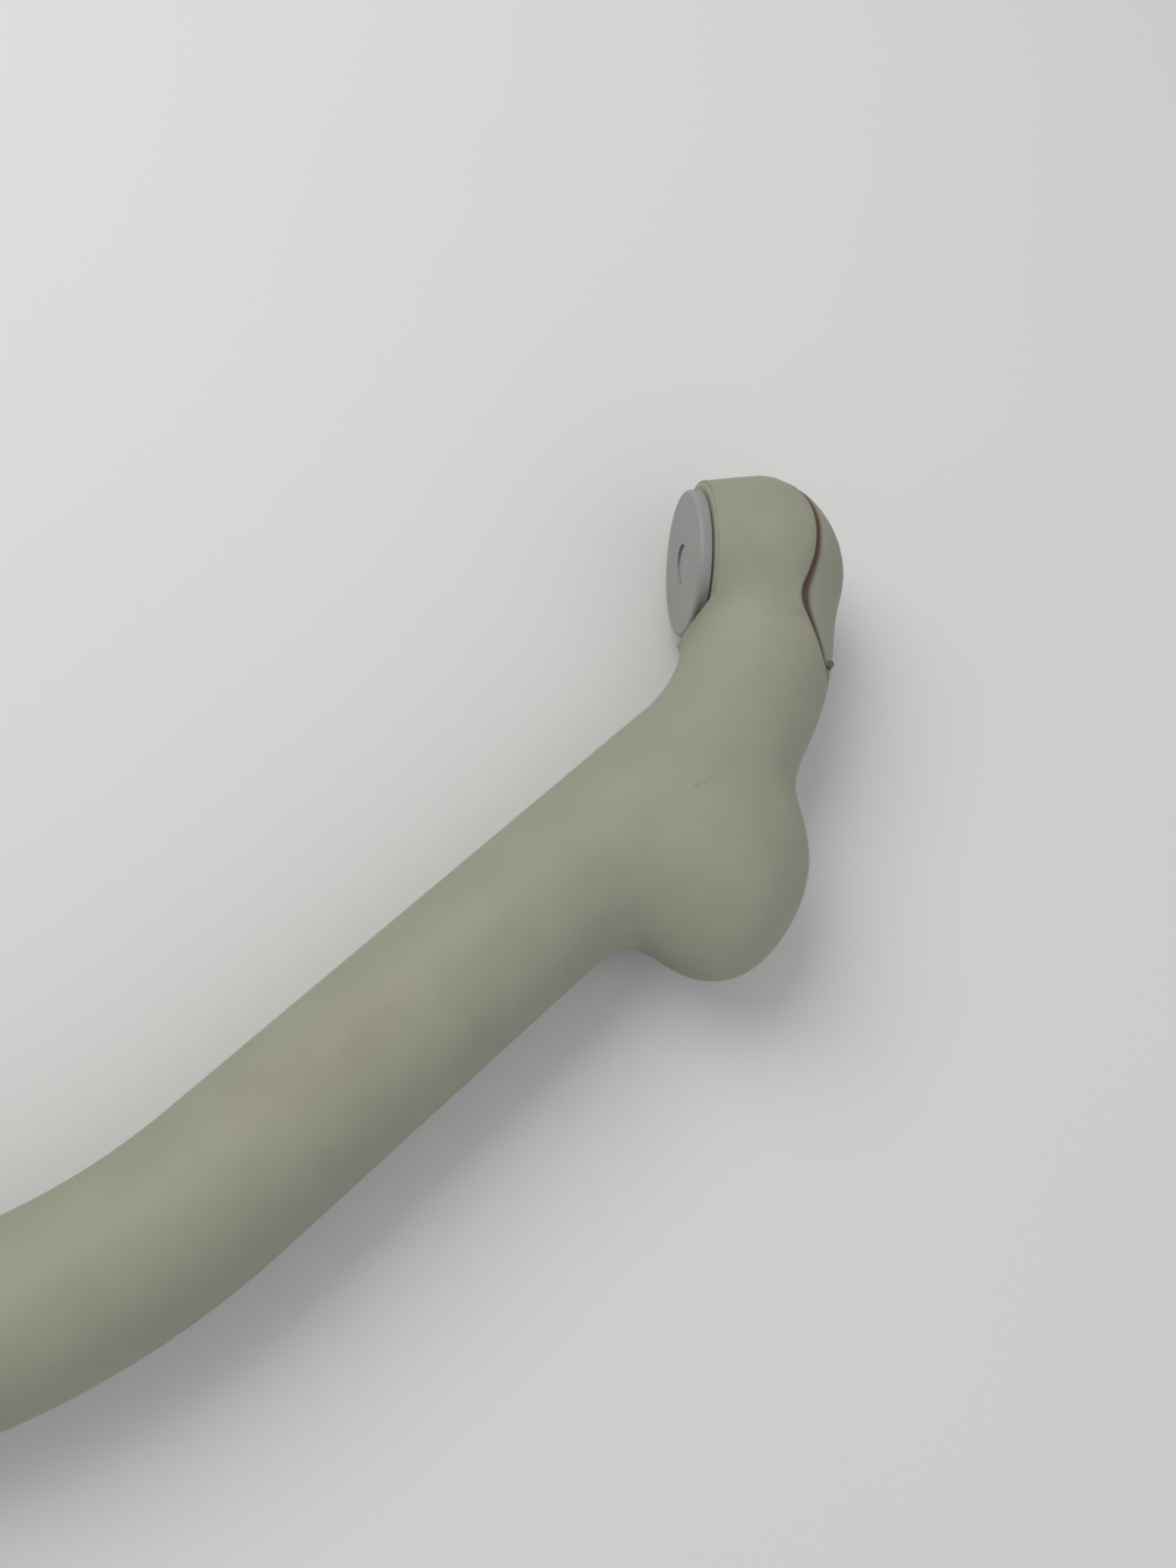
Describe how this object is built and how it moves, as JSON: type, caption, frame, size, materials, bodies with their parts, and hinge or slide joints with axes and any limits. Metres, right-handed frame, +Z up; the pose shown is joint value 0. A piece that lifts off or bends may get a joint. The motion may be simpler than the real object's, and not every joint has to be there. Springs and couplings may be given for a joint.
{
  "type": "pivoting grab bar",
  "caption": "Bow-shaped grab bar with a moulded grip, a heel at each shoulder, and end bosses that turn on hubs under hinged screw covers.",
  "frame": {"origin": "on the surface that the bar lies on, under the middle of its bounding box", "axes": "+X across the bar along both pivots, +Y from the grip towards the pivots, +Z up; the bar lies flat"},
  "size_m": [0.4144, 0.142, 0.03],
  "materials": {
    "grip_shell": "fine matt grain, pebble grey",
    "cover": "fine matt grain, pebble grey",
    "hub": "smooth matt, neutral grey",
    "core_steel": "phosphated, dull",
    "bush": "turned acetal",
    "spring_steel": "oiled spring steel",
    "pin_steel": "ground steel",
    "screw_steel": "zinc plated"
  },
  "bodies": {
    "bow": {"bow_shell": "grip_shell", "core_tube": "core_steel", "end_eye_right": "core_steel", "end_eye_left": "core_steel", "pivot_bush_right": "bush", "pivot_bush_left": "bush", "thrust_washer_right": "bush", "thrust_washer_left": "bush", "cover_pin_right": "pin_steel", "cover_pin_left": "pin_steel"},
    "hub_right": {"pivot_hub_right": "hub", "disc_spring_right": "spring_steel", "retaining_washer_right": "pin_steel", "pivot_screw_right": "screw_steel"},
    "hub_left": {"pivot_hub_left": "hub", "disc_spring_left": "spring_steel", "retaining_washer_left": "pin_steel", "pivot_screw_left": "screw_steel"},
    "cover_right": {"screw_cover_right": "cover"},
    "cover_left": {"screw_cover_left": "cover"}
  },
  "joints": [
    {"name": "hub_right_turn", "type": "hinge", "parent": "bow", "child": "hub_right", "pos_m": [0.18, 0.056, 0.015], "axis": [1, 0, 0], "continuous": true},
    {"name": "hub_left_turn", "type": "hinge", "parent": "bow", "child": "hub_left", "pos_m": [-0.18, 0.056, 0.015], "axis": [1, 0, 0], "continuous": true},
    {"name": "cover_right_open", "type": "hinge", "parent": "bow", "child": "cover_right", "pos_m": [0.20096, 0.0362, 0.015], "axis": [0, 0, -1], "range_deg": [0, 90]},
    {"name": "cover_left_open", "type": "hinge", "parent": "bow", "child": "cover_left", "pos_m": [-0.20096, 0.0362, 0.015], "axis": [0, 0, 1], "range_deg": [0, 90]}
  ]
}
